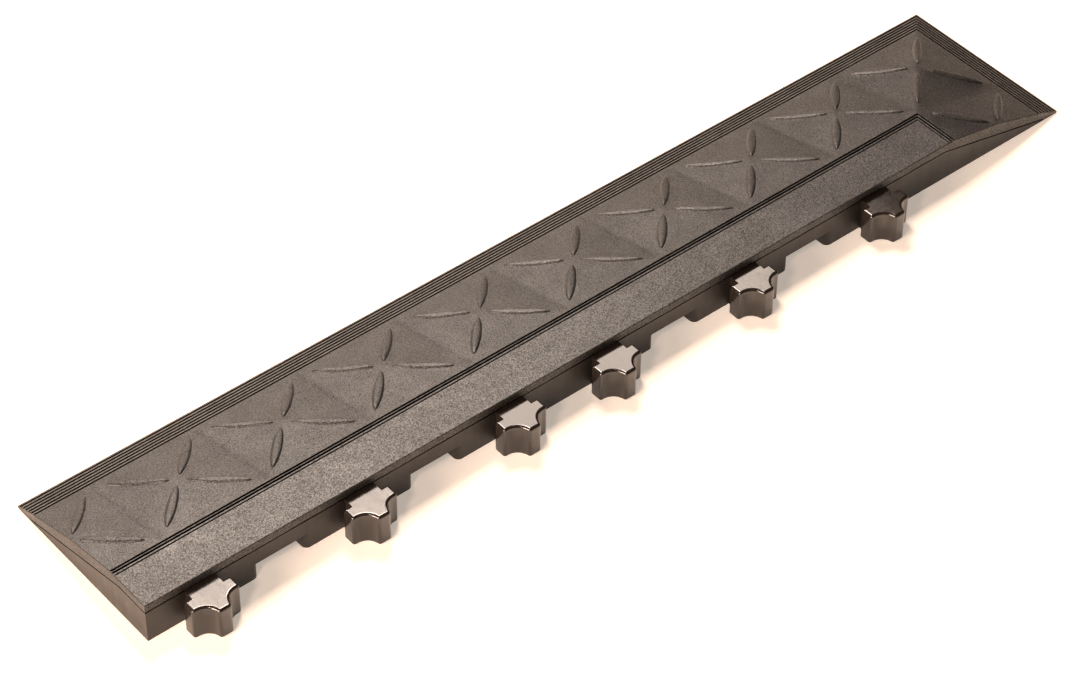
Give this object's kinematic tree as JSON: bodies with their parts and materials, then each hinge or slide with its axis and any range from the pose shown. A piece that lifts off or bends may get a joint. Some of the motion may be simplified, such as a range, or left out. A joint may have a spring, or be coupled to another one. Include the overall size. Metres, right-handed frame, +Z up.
{
  "type": "cable protector ramp",
  "caption": "Low edge ramp with a hipped corner, X-pattern raised tread, grooved toe, flat deck strip and T-shaped connector lugs along its high wall.",
  "frame": {"origin": "centre of the footprint, lugs included, on the floor", "axes": "+X along the ramp from the square end to the hipped end, +Y from the lugs to the long toe, +Z up"},
  "size_m": [1.1176, 0.2412, 0.0444],
  "materials": {
    "tread_rubber": "matte, finely grained",
    "base_rubber": "matte moulded",
    "lug_polymer": "smooth, glossy",
    "plated_steel": "zinc plated",
    "brass_insert": "machined",
    "grip_rubber": "soft, matte"
  },
  "bodies": {
    "root": {"tread_cover": "tread_rubber", "ramp_base": "base_rubber", "connector_lug_1": "lug_polymer", "connector_lug_2": "lug_polymer", "connector_lug_3": "lug_polymer", "connector_lug_4": "lug_polymer", "connector_lug_5": "lug_polymer", "connector_lug_6": "lug_polymer", "lug_keeper_plate_1": "plated_steel", "lug_keeper_plate_2": "plated_steel", "lug_keeper_plate_3": "plated_steel", "lug_keeper_plate_4": "plated_steel", "lug_keeper_plate_5": "plated_steel", "lug_keeper_plate_6": "plated_steel", "keeper_screws": "plated_steel", "keeper_inserts": "brass_insert", "cover_screws": "plated_steel", "cover_screw_washers": "plated_steel", "cover_inserts": "brass_insert", "grip_strip_long": "grip_rubber", "grip_strip_short": "grip_rubber"}
  },
  "joints": []
}
